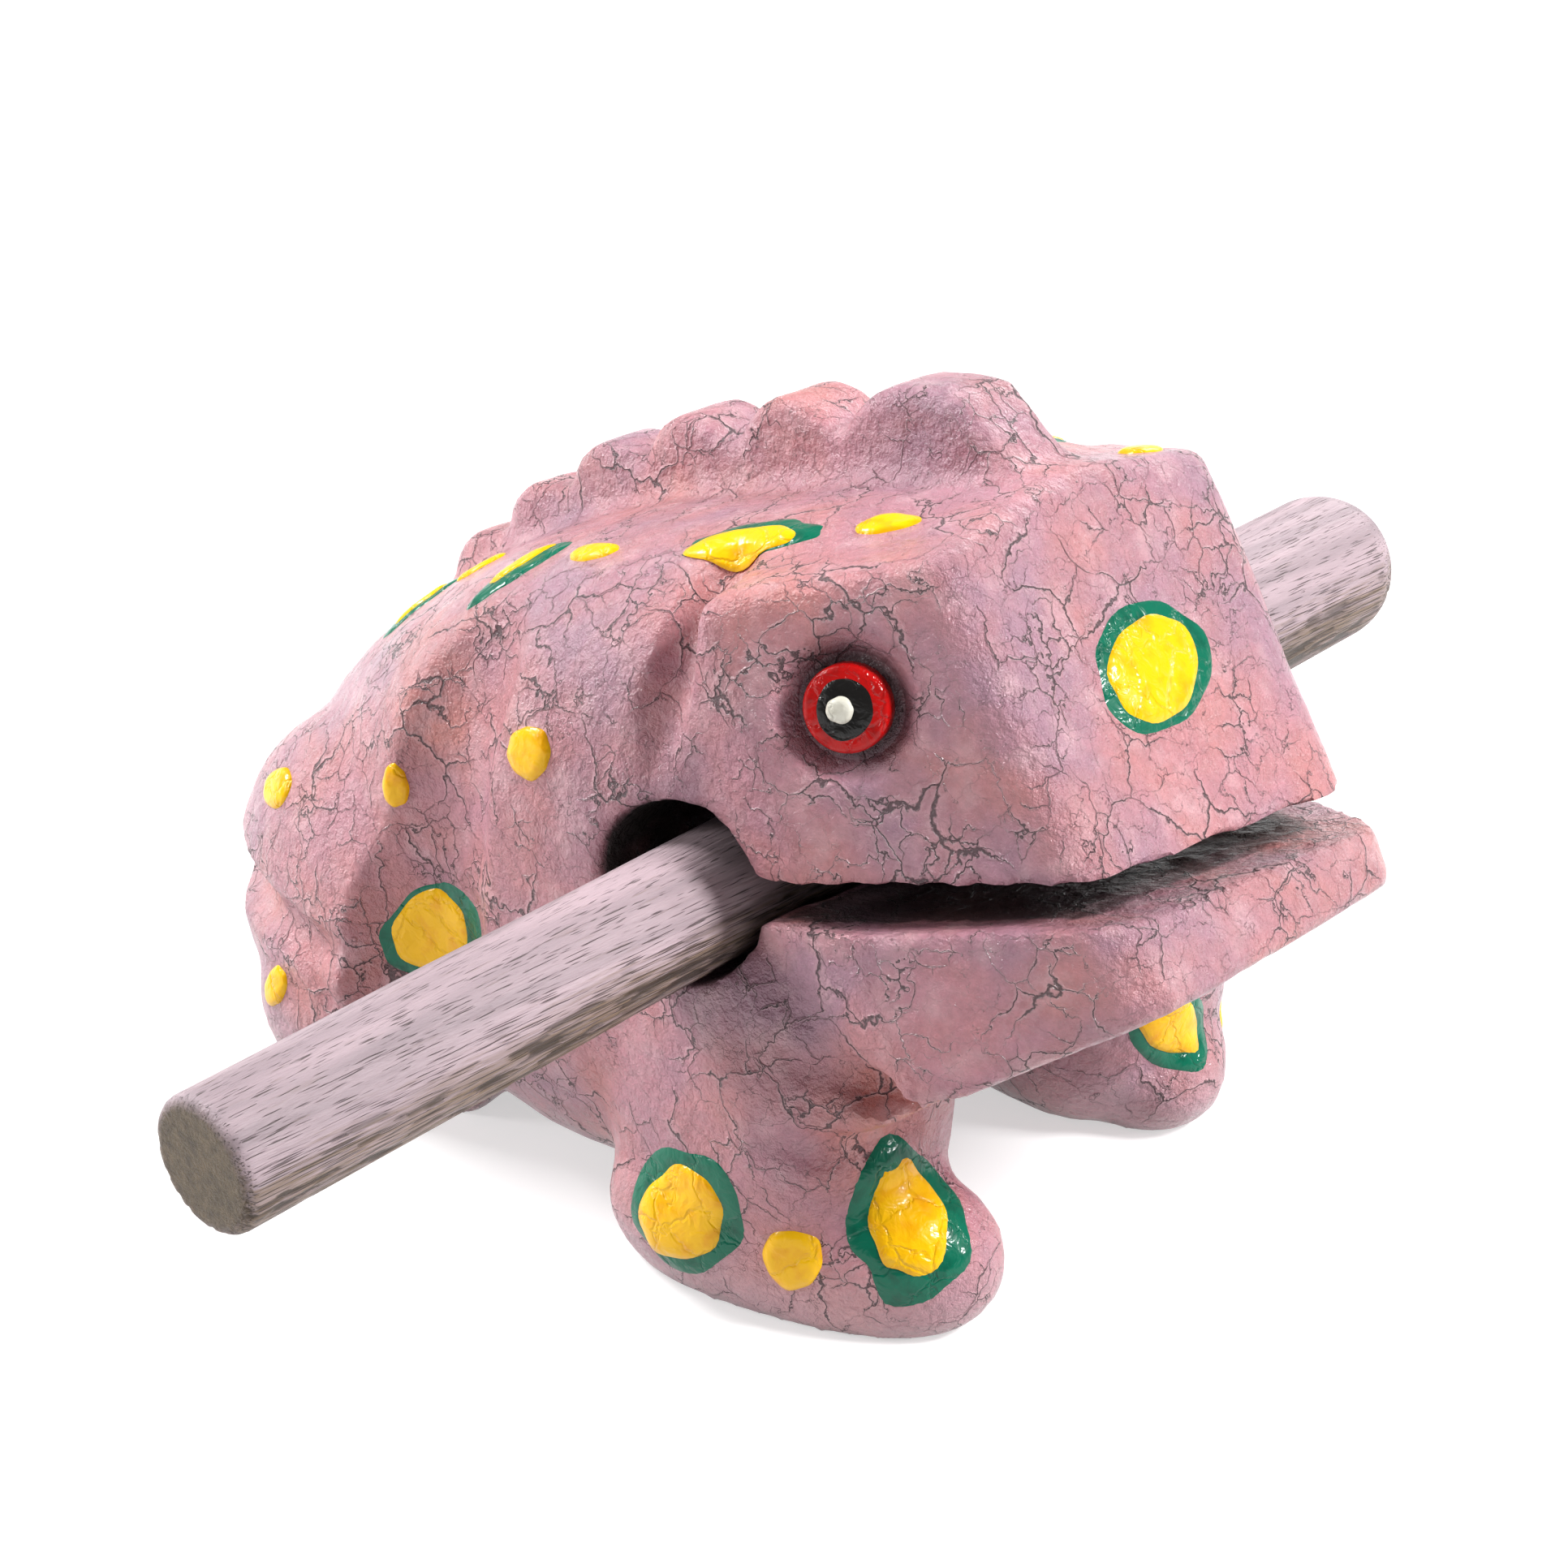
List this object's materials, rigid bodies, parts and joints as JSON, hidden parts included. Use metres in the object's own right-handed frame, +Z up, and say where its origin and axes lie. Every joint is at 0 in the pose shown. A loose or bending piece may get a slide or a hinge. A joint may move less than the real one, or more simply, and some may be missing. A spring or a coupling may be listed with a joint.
{
  "type": "frog guiro",
  "caption": "Carved wooden frog rasp with a notched back comb, faceted head, sawn mouth and a loose domed stick lying through its bore.",
  "frame": {"origin": "on the flat base, in the frog's middle plane, under its back between rump and shoulders", "axes": "+X towards the snout, +Y to the frog's left and along the stick, +Z up"},
  "size_m": [0.0979, 0.1331, 0.067],
  "materials": {
    "painted_wood": "satin",
    "washed_wood": "matte"
  },
  "bodies": {
    "root": {"frog_body": "painted_wood", "rasp_stick": "washed_wood"}
  },
  "joints": []
}
